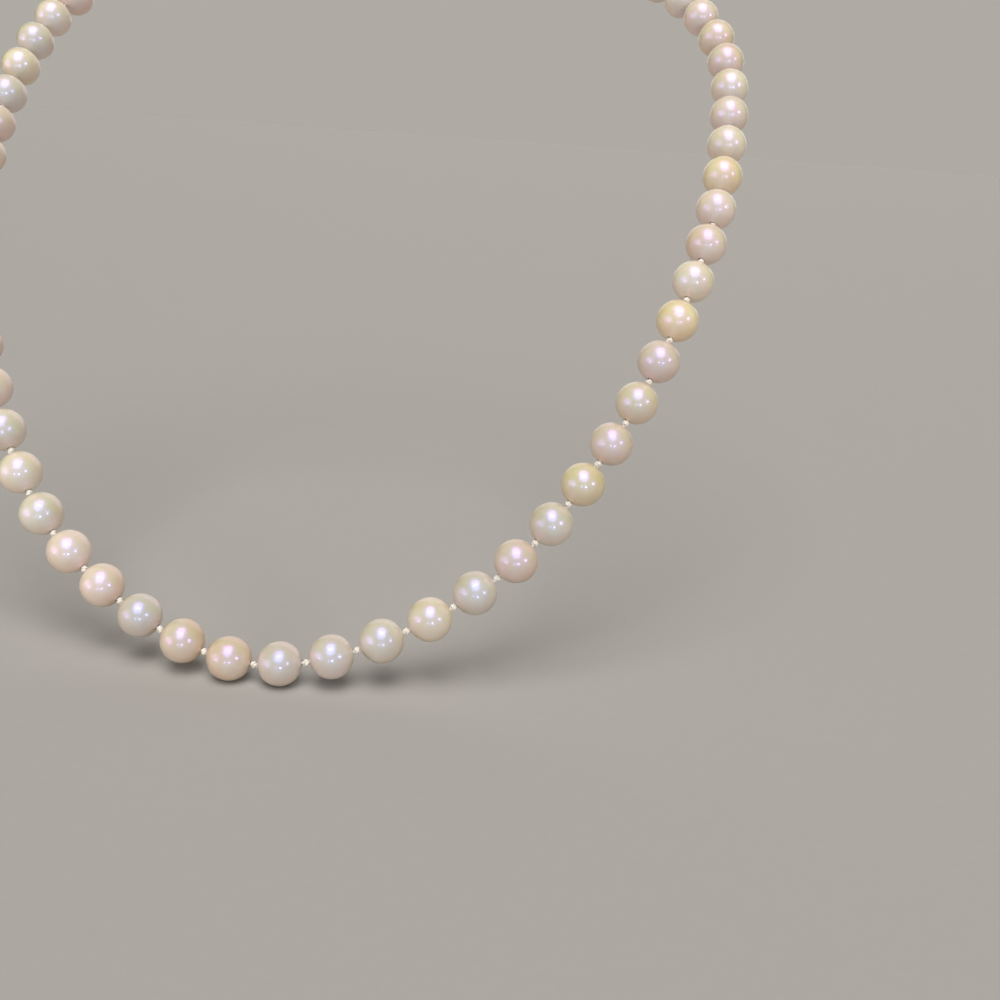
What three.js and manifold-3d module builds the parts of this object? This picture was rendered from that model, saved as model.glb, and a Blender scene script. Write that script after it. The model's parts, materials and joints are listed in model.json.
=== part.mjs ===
// Hand-knotted single-strand pearl necklace, in the shape it takes round a neck.
// Millimetres. +X is the right side seen from the front, -Y is the front, +Z is up.
// The origin is the point of the nape that the fastened clasp lies against.
import * as THREE from 'three';
import { mergeVertices } from 'three/addons/utils/BufferGeometryUtils.js';
import Module from 'manifold-3d';

const wasm = await Module();
wasm.setup();

// Pearls and silk
const PEARL_D = 6.5;
const KNOT_GAP = 1.08;
const PITCH = PEARL_D + KNOT_GAP;
const BORE_D = 0.9;
const THREAD_D = 0.5;
const KNOT_D = 1.0;
const KNOT_LENGTH = 0.9;
const PEARLS_PER_SIDE = 29;
const HINGED_PER_SIDE = 22;
const PEARL_BANDS = 6;
const PEARL_SIDES = 12;
const BACK_PEARL_SIDES = 10;
const FINE_SIDES = 6;
const LOOP_STEPS = 14;

// The strand's line on the right-hand side, from the front centre to the nape.
// The left-hand side mirrors it.
const FRONT = new THREE.Vector3(0, -110.5, -113);
const NAPE = new THREE.Vector3(0, 3.25, 0);
const SIDE_LINE = [
  [30.5, -103.2, -101.7],
  [48.2, -90.5, -80.8],
  [58.6, -73.9, -57.9],
  [63.0, -52.3, -37.3],
  [61.0, -28.5, -18.7],
  [44.5, -7.6, -5.7],
  [17.0, 1.9, -0.6],
];
const LINE_DIVISIONS = 2000;

// Clasp: local x runs along the strand, the thickness is along y
const CLASP_SHIFT = 0.8;
const CLASP_T = 2.4;
const CHEEK_GAP_T = 1.4;
const CLASP_HALF_HEIGHT = 2.8;
const BOW_CENTRE_X = -4.3;
const WINDOW_X = [-6.1, -0.9];
const WINDOW_R = 1.35;
const MOUTH_X = [-3.9, -0.9];
const WELL_X = [-1.2, 3.1];
const WELL_FLOOR_Z = -1.2;
const ABOVE_CLASP_Z = 4;
const LUG_X = 4.2;
const LUG_R = 1.4;
const LUG_HOLE_R = 0.75;
const LUG_T = 1.3;
const LUG_ROOT_X = 3.3;
const PIVOT = new THREE.Vector2(1.6, 0.9);
const PIN_R = 0.35;
const PIN_CLEARANCE = 0.08;
const PIN_INSET = 0.05;
const PIN_SIDES = 12;
const LEVER_T = 1.1;
const SPRING_R = 0.42;
const SPRING_WIRE_D = 0.18;
const SPRING_TURNS = 3;
const SPRING_STEPS_PER_TURN = 10;
const SPRING_HEIGHT = 1.2;
const SPRING_X = 0.3;
const SPRING_FOOT_Z = -1.05;

// Rings at the strand's ends, and the loops of covered silk that hold them
const RING_WIRE_X = 8.4;
const RING_STEPS = 20;
const JUMP_RING_R = 1.7;
const JUMP_WIRE_D = 0.7;
const END_RING_R = 2.1;
const END_WIRE_D = 0.8;
const GIMP_D = 1.0;
const GIMP_BORE_D = 0.64;
const LOOP_THREAD_D = 0.4;
const LOOP_R = 1.1;
const LOOP_START = 0.6;
const LOOP_SPREAD = 0.62;

const AXIS_Y = new THREE.Vector3(0, 1, 0);

function material(color, roughness, metalness) {
  return new THREE.MeshStandardMaterial({ color, roughness, metalness });
}

const nacre = [
  material('#ece4dc', 0.22, 0.0),
  material('#eed9d4', 0.22, 0.0),
  material('#e6ddc6', 0.22, 0.0),
  material('#d9d8dc', 0.22, 0.0),
];
const silk = material('#efe6d2', 0.8, 0.0);
const silver = material('#d6d8da', 0.25, 1.0);
const gimpWire = material('#cfcfca', 0.35, 1.0);
const springSteel = material('#9a9ca0', 0.35, 1.0);

// Solids ---------------------------------------------------------------------

const WELD_DISTANCE = 1e-4;

function solidOf(geometry) {
  const bare = geometry.clone();
  bare.deleteAttribute('normal');
  bare.deleteAttribute('uv');
  const merged = mergeVertices(bare, WELD_DISTANCE);
  const vertProperties = new Float32Array(merged.attributes.position.array);
  const triVerts = new Uint32Array(merged.index.array);
  return new wasm.Manifold(new wasm.Mesh({ numProp: 3, vertProperties, triVerts }));
}

function geometryOf(solid) {
  const mesh = solid.getMesh();
  const geometry = new THREE.BufferGeometry();
  geometry.setAttribute('position', new THREE.BufferAttribute(mesh.vertProperties, 3));
  geometry.setIndex(new THREE.BufferAttribute(mesh.triVerts, 1));
  return geometry;
}

function join(geometries) {
  return geometryOf(geometries.map(solidOf).reduce((all, next) => all.add(next)));
}

function cut(geometry, cutters) {
  return geometryOf(cutters.map(solidOf).reduce((rest, next) => rest.subtract(next), solidOf(geometry)));
}

function rod(from, to, diameter, sides) {
  const along = to.clone().sub(from);
  const geometry = new THREE.CylinderGeometry(diameter / 2, diameter / 2, along.length(), sides);
  return laid(geometry, from.clone().add(to).multiplyScalar(0.5), along);
}

function laid(geometry, centre, along) {
  const turn = new THREE.Quaternion().setFromUnitVectors(AXIS_Y, along.clone().normalize());
  return geometry.applyQuaternion(turn).translate(centre.x, centre.y, centre.z);
}

// An extrusion whose thickness is centred on y = 0, drawn in x and z
function plate(shape, thickness, curveSegments = 8) {
  const geometry = new THREE.ExtrudeGeometry(shape, {
    depth: thickness, bevelEnabled: false, curveSegments });
  return geometry.translate(0, 0, -thickness / 2).rotateX(Math.PI / 2);
}

// The strand -----------------------------------------------------------------

function mirrored(point) {
  return new THREE.Vector3(-point.x, point.y, point.z);
}

function strandLine() {
  const right = SIDE_LINE.map((xyz) => new THREE.Vector3(...xyz));
  const left = right.map(mirrored).reverse();
  const line = new THREE.CatmullRomCurve3([FRONT, ...right, NAPE, ...left], true, 'centripetal');
  line.arcLengthDivisions = LINE_DIVISIONS;
  return line;
}

const LINE = strandLine();
const LINE_LENGTH = LINE.getLength();
const LOOP_CENTRE = FRONT.clone().add(NAPE).multiplyScalar(0.5);

// Knot 0 is the one at the front centre, knot n has n pearls between it and the centre
function knotAt(number, side) {
  const point = LINE.getPointAt((number * PITCH) / LINE_LENGTH);
  return side > 0 ? point : mirrored(point);
}

function pearlSpot(number, side) {
  const inner = knotAt(number - 1, side);
  const outer = knotAt(number, side);
  return { centre: inner.clone().add(outer).multiplyScalar(0.5), along: outer.clone().sub(inner) };
}

function drilledPearl() {
  const radius = PEARL_D / 2;
  const bore = BORE_D / 2;
  const start = Math.asin(bore / radius);
  const profile = [];
  for (let band = 0; band <= PEARL_BANDS; band += 1) {
    const angle = start + ((Math.PI - 2 * start) * band) / PEARL_BANDS;
    profile.push(new THREE.Vector2(radius * Math.sin(angle), -radius * Math.cos(angle)));
  }
  profile.push(profile[0].clone());
  return new THREE.LatheGeometry(profile, PEARL_SIDES);
}

// A closed round bar through stations of { point, along, radius }, turned as the strand turns
function beadedBar(stations, sides) {
  const positions = [];
  const index = [];
  for (const { point, along, radius } of stations) {
    const outward = point.clone().sub(LOOP_CENTRE);
    const across = new THREE.Vector3().crossVectors(along, outward).normalize();
    const normal = new THREE.Vector3().crossVectors(across, along).normalize();
    for (let corner = 0; corner < sides; corner += 1) {
      const angle = (2 * Math.PI * corner) / sides;
      const spoke = normal.clone().multiplyScalar(Math.cos(angle));
      spoke.addScaledVector(across, Math.sin(angle));
      positions.push(...point.clone().addScaledVector(spoke, radius).toArray());
    }
  }
  for (let ringStart = 0; ringStart < (stations.length - 1) * sides; ringStart += sides) {
    for (let corner = 0; corner < sides; corner += 1) {
      const a = ringStart + corner;
      const b = ringStart + ((corner + 1) % sides);
      index.push(a, b, a + sides, b, b + sides, a + sides);
    }
  }
  const last = (stations.length - 1) * sides;
  for (let corner = 1; corner < sides - 1; corner += 1) {
    index.push(0, corner + 1, corner);
    index.push(last, last + corner, last + corner + 1);
  }
  const geometry = new THREE.BufferGeometry();
  geometry.setAttribute('position', new THREE.Float32BufferAttribute(positions, 3));
  geometry.setIndex(index);
  return geometry;
}

// Shares of a knot's length with the silk's diameter there
const KNOT_PROFILE = [[-0.5, THREAD_D], [-0.25, KNOT_D], [0.25, KNOT_D], [0.5, THREAD_D]];

function knotStations(number, side) {
  const point = knotAt(number, side);
  const before = number > 0 ? pearlSpot(number, side).along : new THREE.Vector3(side, 0, 0);
  const after = pearlSpot(number + 1, side).along;
  const along = before.normalize().add(after.normalize()).normalize();
  return KNOT_PROFILE.map(([share, diameter]) => ({
    point: point.clone().addScaledVector(along, share * KNOT_LENGTH), along, radius: diameter / 2 }));
}

function pearlStations(number, side) {
  const { centre, along } = pearlSpot(number, side);
  along.normalize();
  const start = Math.asin(THREAD_D / PEARL_D);
  const stations = [];
  for (let band = 0; band <= PEARL_BANDS; band += 1) {
    const angle = start + ((Math.PI - 2 * start) * band) / PEARL_BANDS;
    const point = centre.clone().addScaledVector(along, (-PEARL_D / 2) * Math.cos(angle));
    stations.push({ point, along, radius: (PEARL_D / 2) * Math.sin(angle) });
  }
  return stations;
}

function silkThread() {
  const right = [];
  for (let number = 1; number <= HINGED_PER_SIDE; number += 1) {
    right.push(...knotStations(number, 1));
  }
  const left = right.toReversed().map(({ point, along, radius }) => ({
    point: mirrored(point), along: new THREE.Vector3(along.x, -along.y, -along.z), radius }));
  return beadedBar([...left, ...knotStations(0, 1), ...right], FINE_SIDES);
}

// A doubled thread from the end knot, round the wire of a ring at ringX and back
function loopPath(side) {
  const end = knotAt(PEARLS_PER_SIDE, side);
  const ringX = side * RING_WIRE_X;
  const path = new THREE.CurvePath();
  const startX = end.x - side * LOOP_START;
  const upper = new THREE.Vector3(startX, end.y, end.z + LOOP_SPREAD);
  const lower = new THREE.Vector3(startX, end.y, end.z - LOOP_SPREAD);
  const top = new THREE.Vector3(ringX, NAPE.y, LOOP_R);
  const bottom = new THREE.Vector3(ringX, NAPE.y, -LOOP_R);
  path.add(new THREE.LineCurve3(upper, top));
  path.add(new LoopBend(ringX, side));
  path.add(new THREE.LineCurve3(bottom, lower));
  return path;
}

// The half turn of a loop round a ring's wire, from its top to its bottom
class LoopBend extends THREE.Curve {
  constructor(x, side) {
    super();
    this.x = x;
    this.side = side;
  }

  getPoint(t, target = new THREE.Vector3()) {
    const angle = Math.PI * t;
    return target.set(this.x - this.side * LOOP_R * Math.sin(angle), NAPE.y, LOOP_R * Math.cos(angle));
  }
}

function discShape(radius, holeRadius) {
  const shape = new THREE.Shape().absarc(0, 0, radius, 0, 2 * Math.PI);
  if (holeRadius) {
    shape.holes.push(new THREE.Path().absarc(0, 0, holeRadius, 0, 2 * Math.PI));
  }
  return shape;
}

function sweptLoop(side, shape) {
  return new THREE.ExtrudeGeometry(shape, {
    steps: LOOP_STEPS, extrudePath: loopPath(side), curveSegments: FINE_SIDES / 2, bevelEnabled: false });
}

function backRun(side) {
  const stations = pearlStations(HINGED_PER_SIDE + 1, side);
  for (let number = HINGED_PER_SIDE + 1; number < PEARLS_PER_SIDE; number += 1) {
    stations.push(...knotStations(number, side), ...pearlStations(number + 1, side));
  }
  stations.push(...knotStations(PEARLS_PER_SIDE, side));
  const end = knotAt(PEARLS_PER_SIDE, side);
  const legs = [LOOP_SPREAD, -LOOP_SPREAD].map((dz) => {
    const start = new THREE.Vector3(end.x - side * LOOP_START, end.y, end.z + dz);
    return rod(end, start, LOOP_THREAD_D, FINE_SIDES);
  });
  return join([beadedBar(stations, BACK_PEARL_SIDES), ...legs, sweptLoop(side, discShape(LOOP_THREAD_D / 2))]);
}

function gimp(side) {
  return sweptLoop(side, discShape(GIMP_D / 2, GIMP_BORE_D / 2));
}

// The clasp ------------------------------------------------------------------

function ring(centreX, meanRadius, wireD) {
  const geometry = new THREE.TorusGeometry(meanRadius, wireD / 2, FINE_SIDES, RING_STEPS);
  return geometry.translate(centreX, NAPE.y, 0);
}

// A round bow on the left, tapering on the right to the shoulders that hold the lug
function claspOutline() {
  const shape = new THREE.Shape();
  shape.moveTo(BOW_CENTRE_X, -CLASP_HALF_HEIGHT);
  shape.absarc(BOW_CENTRE_X, 0, CLASP_HALF_HEIGHT, -Math.PI / 2, Math.PI / 2, true);
  shape.lineTo(0.6, CLASP_HALF_HEIGHT);
  shape.quadraticCurveTo(3.2, 2.6, 3.7, 1.1);
  shape.lineTo(3.7, -1.1);
  shape.quadraticCurveTo(3.0, -2.6, 0.6, -CLASP_HALF_HEIGHT);
  shape.closePath();
  return shape;
}

function slotShape([x0, x1], radius) {
  const shape = new THREE.Shape();
  shape.absarc(x1 - radius, 0, radius, -Math.PI / 2, Math.PI / 2);
  shape.absarc(x0 + radius, 0, radius, Math.PI / 2, 1.5 * Math.PI);
  shape.closePath();
  return shape;
}

function boxBetween([x0, x1], thickness, [z0, z1]) {
  const box = new THREE.BoxGeometry(x1 - x0, thickness, z1 - z0);
  return box.translate((x0 + x1) / 2, 0, (z0 + z1) / 2);
}

function pinHole(radius) {
  const hole = new THREE.CylinderGeometry(radius, radius, 2 * CLASP_T, PIN_SIDES);
  return hole.translate(PIVOT.x, 0, PIVOT.y);
}

function claspBody() {
  const body = cut(plate(claspOutline(), CLASP_T), [
    plate(slotShape(WINDOW_X, WINDOW_R), 2 * CLASP_T),
    boxBetween(MOUTH_X, 2 * CLASP_T, [0, ABOVE_CLASP_Z]),
    boxBetween(WELL_X, CHEEK_GAP_T, [WELL_FLOOR_Z, ABOVE_CLASP_Z]),
    pinHole(PIN_R + PIN_CLEARANCE),
  ]);
  const lug = cut(plate(discShape(LUG_R), LUG_T).translate(LUG_X, 0, 0), [
    plate(discShape(LUG_HOLE_R), 2 * LUG_T).translate(LUG_X, 0, 0),
    boxBetween([0, LUG_ROOT_X], 2 * LUG_T, [-LUG_R, LUG_R]),
  ]);
  return join([body, lug]);
}

// The gate on the left closes the mouth, and the thumb tab stands up over the pivot
function leverShape() {
  const shape = new THREE.Shape();
  shape.moveTo(-3.75, 1.45);
  shape.lineTo(-3.5, 2.65);
  shape.lineTo(-0.2, 2.75);
  shape.quadraticCurveTo(0.0, 3.9, 0.8, 4.0);
  shape.quadraticCurveTo(1.5, 3.9, 1.5, 2.7);
  shape.quadraticCurveTo(2.7, 2.3, 2.7, 1.1);
  shape.lineTo(2.7, 0.55);
  shape.quadraticCurveTo(1.6, -0.35, 0.5, 0.55);
  shape.quadraticCurveTo(0.0, 1.45, -1.0, 1.45);
  shape.closePath();
  return shape;
}

function lever() {
  return cut(plate(leverShape(), LEVER_T), [pinHole(PIN_R + PIN_CLEARANCE)]);
}

function pivotPin() {
  const pin = new THREE.CylinderGeometry(PIN_R, PIN_R, CLASP_T - 2 * PIN_INSET, PIN_SIDES);
  return pin.translate(PIVOT.x, 0, PIVOT.y);
}

// A small coil that stands in the clasp's well and holds the lever's arm up, shut
class SpringCoil extends THREE.Curve {
  getPoint(t, target = new THREE.Vector3()) {
    const angle = 2 * Math.PI * SPRING_TURNS * t;
    return target.set(SPRING_R * Math.cos(angle), SPRING_R * Math.sin(angle), SPRING_HEIGHT * t);
  }
}

function returnSpring() {
  const wire = new THREE.ExtrudeGeometry(discShape(SPRING_WIRE_D / 2), {
    steps: SPRING_STEPS_PER_TURN * SPRING_TURNS, extrudePath: new SpringCoil(), curveSegments: 3,
    bevelEnabled: false });
  return wire.translate(SPRING_X, 0, SPRING_FOOT_Z);
}

// Assembly -------------------------------------------------------------------

const necklace = new THREE.Group();

function add(name, geometry, look, group = necklace) {
  const mesh = new THREE.Mesh(geometry, look);
  mesh.name = name;
  group.add(mesh);
  return mesh;
}

for (const [sideName, side] of [['right', 1], ['left', -1]]) {
  for (let number = 1; number <= HINGED_PER_SIDE; number += 1) {
    const spot = pearlSpot(number, side);
    const name = `pearl_${sideName}_${String(number).padStart(2, '0')}`;
    const pearl = add(name, drilledPearl(), nacre[(number * 5 + (side > 0 ? 0 : 2)) % nacre.length]);
    pearl.position.copy(spot.centre);
    pearl.quaternion.setFromUnitVectors(AXIS_Y, spot.along.normalize());
  }
  add(`back_pearls_${sideName}`, backRun(side), nacre[0]);
  add(`gimp_${sideName}`, gimp(side), gimpWire);
}

add('silk_thread', silkThread(), silk);
add('jump_ring', ring(RING_WIRE_X - JUMP_RING_R, JUMP_RING_R, JUMP_WIRE_D), silver);
add('end_ring', ring(END_RING_R - RING_WIRE_X, END_RING_R, END_WIRE_D), silver);

const clasp = new THREE.Group();
clasp.position.set(CLASP_SHIFT, NAPE.y, 0);
necklace.add(clasp);
add('clasp_body', claspBody(), silver, clasp);
add('clasp_lever', lever(), silver, clasp);
add('clasp_pin', pivotPin(), silver, clasp);
add('clasp_spring', returnSpring(), springSteel, clasp);

export default necklace;
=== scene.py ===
import json
import math

import bmesh
import bpy
from bpy.props import FloatProperty, FloatVectorProperty, IntProperty, PointerProperty
from mathutils import Matrix, Vector

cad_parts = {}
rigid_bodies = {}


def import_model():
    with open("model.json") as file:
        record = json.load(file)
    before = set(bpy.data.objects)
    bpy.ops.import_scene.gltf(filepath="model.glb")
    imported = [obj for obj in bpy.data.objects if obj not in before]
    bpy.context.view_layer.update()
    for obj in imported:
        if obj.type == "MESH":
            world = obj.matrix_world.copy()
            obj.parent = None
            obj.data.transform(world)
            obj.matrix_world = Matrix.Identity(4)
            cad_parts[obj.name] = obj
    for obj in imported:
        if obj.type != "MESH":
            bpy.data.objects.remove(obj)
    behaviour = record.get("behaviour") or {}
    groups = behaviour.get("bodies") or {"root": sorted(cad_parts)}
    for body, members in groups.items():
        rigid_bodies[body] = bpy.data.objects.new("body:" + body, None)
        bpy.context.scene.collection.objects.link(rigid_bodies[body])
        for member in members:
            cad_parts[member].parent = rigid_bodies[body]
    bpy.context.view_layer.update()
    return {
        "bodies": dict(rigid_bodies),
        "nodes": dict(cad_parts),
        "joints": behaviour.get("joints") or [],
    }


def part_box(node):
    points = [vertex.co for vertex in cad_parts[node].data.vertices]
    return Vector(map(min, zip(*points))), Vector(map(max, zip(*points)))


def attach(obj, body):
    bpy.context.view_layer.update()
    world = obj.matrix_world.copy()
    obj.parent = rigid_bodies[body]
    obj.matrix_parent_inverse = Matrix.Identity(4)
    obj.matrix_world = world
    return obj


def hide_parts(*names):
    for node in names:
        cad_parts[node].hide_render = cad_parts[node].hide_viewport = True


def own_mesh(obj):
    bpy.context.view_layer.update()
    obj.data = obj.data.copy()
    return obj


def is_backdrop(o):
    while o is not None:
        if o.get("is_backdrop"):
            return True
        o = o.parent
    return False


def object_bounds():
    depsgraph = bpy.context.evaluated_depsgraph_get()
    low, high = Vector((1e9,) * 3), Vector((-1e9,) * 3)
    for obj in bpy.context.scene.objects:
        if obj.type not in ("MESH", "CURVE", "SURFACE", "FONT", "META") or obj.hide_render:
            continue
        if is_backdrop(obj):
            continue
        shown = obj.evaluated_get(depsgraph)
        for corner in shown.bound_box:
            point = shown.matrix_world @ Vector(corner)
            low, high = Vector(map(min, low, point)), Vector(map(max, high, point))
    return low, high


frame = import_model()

# A single strand of drilled pearls, knotted by hand on silk between every two pearls, in the
# shape that it takes round a neck. Metres: +X is the right side seen from the front, -Y is the
# front and +Z is up. The origin is the point of the nape that the fastened clasp lies against.

bl_info = {
    "name": "Hand-knotted pearl necklace",
    "version": (1, 0, 0),
    "blender": (4, 5, 0),
    "location": "View3D > Sidebar > Necklace",
    "description": "Builds a knotted pearl strand with its clasp and a pale studio round it",
    "category": "Add Mesh",
}

SIDES = (("right", 1), ("left", -1))
MM = 0.001
CREASE_ANGLE = math.radians(48)

# The strand's line on the right-hand side, from the front centre to the nape, in millimetres.
# The left-hand side mirrors it.
FRONT = (0.0, -110.5, -113.0)
NAPE = (0.0, 3.25, 0.0)
SIDE_LINE = (
    (30.5, -103.2, -101.7),
    (48.2, -90.5, -80.8),
    (58.6, -73.9, -57.9),
    (63.0, -52.3, -37.3),
    (61.0, -28.5, -18.7),
    (44.5, -7.6, -5.7),
    (17.0, 1.9, -0.6),
)
LINE_DIVISIONS = 2000
KNOT_TOLERANCE = 0.05 * MM

# Which nacre each pearl has, from the front centre outwards
RIGHT_PEARLS = (
    "lavender", "lavender", "silver_cream", "green_cream", "silver", "rose", "silver_cream",
    "green_gold", "pink", "green_cream", "pink", "gold", "cream", "rose", "pink", "gold", "cream",
    "pink", "cream", "rose", "peach", "pink", "cream", "silver_cream", "rose", "cream", "gold",
    "pink", "cream",
)
LEFT_PEARLS = (
    "peach", "peach", "silver", "rose", "pink", "silver_cream", "cream", "silver_cream", "pink",
    "rose", "cream", "silver_cream", "peach", "pink", "cream", "rose", "silver", "green_cream",
    "silver_cream", "cream", "rose", "cream", "pink", "silver_cream", "cream", "rose", "lavender",
    "cream", "peach",
)

# Each nacre: body colour, the colour it drifts to, the sheen at its edge, and the thickness in
# nanometres of the film that tints its gloss
NACRES = {
    "cream": ("#e0dbbd", "#d9d0a8", "#fff1dc", 196.1),
    "rose": ("#dad1b5", "#d5c6a1", "#ffeada", 194.2),
    "pink": ("#e0d6be", "#d9cfad", "#ffe9e2", 195.1),
    "lavender": ("#dbd5bc", "#d4cca9", "#fbeef2", 198.9),
    "silver": ("#d8d6bb", "#cfcaa9", "#f4f3f4", 197.9),
    "silver_cream": ("#d9d7b9", "#cfc9a3", "#f8f2e6", 197.0),
    "green_cream": ("#e3dcb8", "#dad09f", "#f7f4dc", 197.0),
    "green_gold": ("#e0d9a5", "#d8cc8f", "#f8f0cc", 197.0),
    "gold": ("#e3dbaf", "#dcce98", "#ffedc8", 193.3),
    "peach": ("#dcd3af", "#d8c797", "#ffe6cd", 194.2),
}

# Painted light: from these numbers on, the pearls get copies of their nacre whose body colour is
# brightened by this gain in the light that they give back, for the stronger light on the upper
# strand
PAINTED_LIGHT_FROM = {"right": 12, "left": 4}
PAINTED_LIGHT_GAIN = 1.15


def linear(hex_colour):
    """A linear colour from an sRGB hex value."""
    channels = [int(hex_colour[place:place + 2], 16) / 255 for place in (1, 3, 5)]
    return tuple(c / 12.92 if c <= 0.04045 else ((c + 0.055) / 1.055) ** 2.4 for c in channels)


def opaque(colour):
    """A linear colour with full alpha."""
    return (*colour, 1.0)


# Sizes and colours ------------------------------------------------------------------------------


class StrandSizes(bpy.types.PropertyGroup):
    """Sizes of the pearls and of the silk that they are knotted on."""

    pearl_diameter: FloatProperty(
        name="Pearl diameter", description="Diameter of one pearl",
        default=6.5 * MM, min=2 * MM, max=14 * MM, unit="LENGTH", precision=5)
    drill_hole: FloatProperty(
        name="Drill hole", description="Diameter of the hole drilled through a pearl",
        default=0.9 * MM, min=0.4 * MM, max=1.5 * MM, unit="LENGTH", precision=5)
    knot_pitch: FloatProperty(
        name="Knot pitch", description="Length of strand from one knot to the next",
        default=7.58 * MM, min=3 * MM, max=16 * MM, unit="LENGTH", precision=5)
    waviness: FloatProperty(
        name="Waviness", description="How far a pearl's skin strays from a true ball",
        default=0.14 * MM, min=0.0, max=0.5 * MM, unit="LENGTH", precision=5)
    thread_diameter: FloatProperty(
        name="Thread diameter", description="Diameter of the twisted silk",
        default=0.58 * MM, min=0.2 * MM, max=0.8 * MM, unit="LENGTH", precision=5)
    knot_diameter: FloatProperty(
        name="Knot diameter", description="Diameter of one tightened knot",
        default=1.13 * MM, min=0.5 * MM, max=1.6 * MM, unit="LENGTH", precision=5)
    pearls_per_side: IntProperty(
        name="Pearls per side", description="Pearls from the front centre to the clasp",
        default=29, min=23, max=29)


class FittingSizes(bpy.types.PropertyGroup):
    """Sizes of the rings, the bullion wire and the clasp's small parts."""

    jump_ring_radius: FloatProperty(
        name="Jump ring radius", description="Radius to the middle of the jump ring's wire",
        default=1.7 * MM, min=1 * MM, max=4 * MM, unit="LENGTH", precision=5)
    jump_ring_wire: FloatProperty(
        name="Jump ring wire", description="Diameter of the jump ring's wire",
        default=0.7 * MM, min=0.3 * MM, max=1.2 * MM, unit="LENGTH", precision=5)
    end_ring_radius: FloatProperty(
        name="End ring radius", description="Radius to the middle of the end ring's wire",
        default=2.1 * MM, min=1 * MM, max=4 * MM, unit="LENGTH", precision=5)
    end_ring_wire: FloatProperty(
        name="End ring wire", description="Diameter of the end ring's wire",
        default=0.8 * MM, min=0.3 * MM, max=1.2 * MM, unit="LENGTH", precision=5)
    bullion_radius: FloatProperty(
        name="Bullion radius", description="Radius to the middle of the coiled bullion wire",
        default=0.41 * MM, min=0.2 * MM, max=0.8 * MM, unit="LENGTH", precision=5)
    bullion_wire: FloatProperty(
        name="Bullion wire", description="Diameter of the bullion wire",
        default=0.17 * MM, min=0.05 * MM, max=0.4 * MM, unit="LENGTH", precision=5)
    spring_radius: FloatProperty(
        name="Spring radius", description="Radius to the middle of the clasp spring's wire",
        default=0.42 * MM, min=0.2 * MM, max=0.8 * MM, unit="LENGTH", precision=5)
    spring_wire: FloatProperty(
        name="Spring wire", description="Diameter of the clasp spring's wire",
        default=0.18 * MM, min=0.05 * MM, max=0.3 * MM, unit="LENGTH", precision=5)
    cast_rounding: FloatProperty(
        name="Cast rounding", description="Grid on which the cast clasp's edges are softened",
        default=0.09 * MM, min=0.05 * MM, max=0.2 * MM, unit="LENGTH", precision=5)


class NecklaceColours(bpy.types.PropertyGroup):
    """Colours of the silk, the metal and the floor."""

    silk: FloatVectorProperty(
        name="Silk", description="Colour of the bleached silk", subtype="COLOR",
        default=linear("#fbf3e4"), min=0.0, max=1.0)
    silver: FloatVectorProperty(
        name="Silver", description="Colour of the polished silver", subtype="COLOR",
        default=linear("#dcdcda"), min=0.0, max=1.0)
    spring_steel: FloatVectorProperty(
        name="Spring steel", description="Colour of the clasp's spring", subtype="COLOR",
        default=linear("#a3a5a8"), min=0.0, max=1.0)
    floor: FloatVectorProperty(
        name="Floor", description="Colour of the studio's paper", subtype="COLOR",
        default=linear("#aca8a2"), min=0.0, max=1.0)
    surroundings: FloatVectorProperty(
        name="Surroundings", description="Colour of the light from all round", subtype="COLOR",
        default=linear("#f3dfc6"), min=0.0, max=1.0)
    backdrop: FloatVectorProperty(
        name="Backdrop", description="Colour of the paper in the far distance", subtype="COLOR",
        default=linear("#afaba4"), min=0.0, max=1.0)


class StudioSettings(bpy.types.PropertyGroup):
    """The camera's place and the strength of the lights."""

    camera_place: FloatVectorProperty(
        name="Camera place", description="Where the camera stands", subtype="XYZ",
        unit="LENGTH", default=(0.0456, -0.2573, -0.0377), precision=4)
    camera_turn: FloatProperty(
        name="Camera turn", description="How far the camera looks to the right of straight back",
        default=math.radians(-4.59), unit="ROTATION")
    camera_dip: FloatProperty(
        name="Camera dip", description="How far the camera looks down",
        default=math.radians(17.68), unit="ROTATION")
    camera_roll: FloatProperty(
        name="Camera roll", description="How far the camera is rolled anticlockwise",
        default=math.radians(4.09), unit="ROTATION")
    lens: FloatProperty(
        name="Lens", description="Focal length in millimetres", default=41.4, min=10.0, max=200.0)
    main_light: FloatProperty(
        name="Main light", description="Strength of each half of the main softbox", default=1.42,
        min=0.0)
    side_light: FloatProperty(
        name="Side light", description="Strength of the wide side softbox", default=1.1, min=0.0)
    small_lights: FloatProperty(
        name="Small lights", description="Strength of the weakest small lamp", default=0.22,
        min=0.0)
    back_light: FloatProperty(
        name="Back light", description="Strength of the wide softbox behind", default=0.9,
        min=0.0)
    ambient: FloatProperty(
        name="Ambient", description="Strength of the light from all round", default=0.07, min=0.0)


# Nodes ------------------------------------------------------------------------------------------


def set_inputs(tree, node, sockets):
    """Sets or links a node's inputs, given by name or place."""
    for socket, value in sockets.items():
        if isinstance(value, bpy.types.NodeSocket):
            tree.links.new(value, node.inputs[socket])
        else:
            node.inputs[socket].default_value = value


def add_node(tree, kind, sockets=None, **settings):
    """Adds one node with its settings and inputs."""
    made = tree.nodes.new(kind)
    for setting, value in settings.items():
        setattr(made, setting, value)
    set_inputs(tree, made, sockets or {})
    return made


def maths(tree, operation, *values):
    """The result of one sum on numbers."""
    node = add_node(tree, "ShaderNodeMath", dict(enumerate(values)), operation=operation)
    return node.outputs[0]


def vector_maths(tree, operation, *values):
    """The result of one sum on vectors."""
    node = add_node(tree, "ShaderNodeVectorMath", dict(enumerate(values)), operation=operation)
    return node.outputs[0]


def scaled(tree, vector, factor):
    """A vector times a number."""
    node = add_node(tree, "ShaderNodeVectorMath", {0: vector, "Scale": factor}, operation="SCALE")
    return node.outputs[0]


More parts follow.
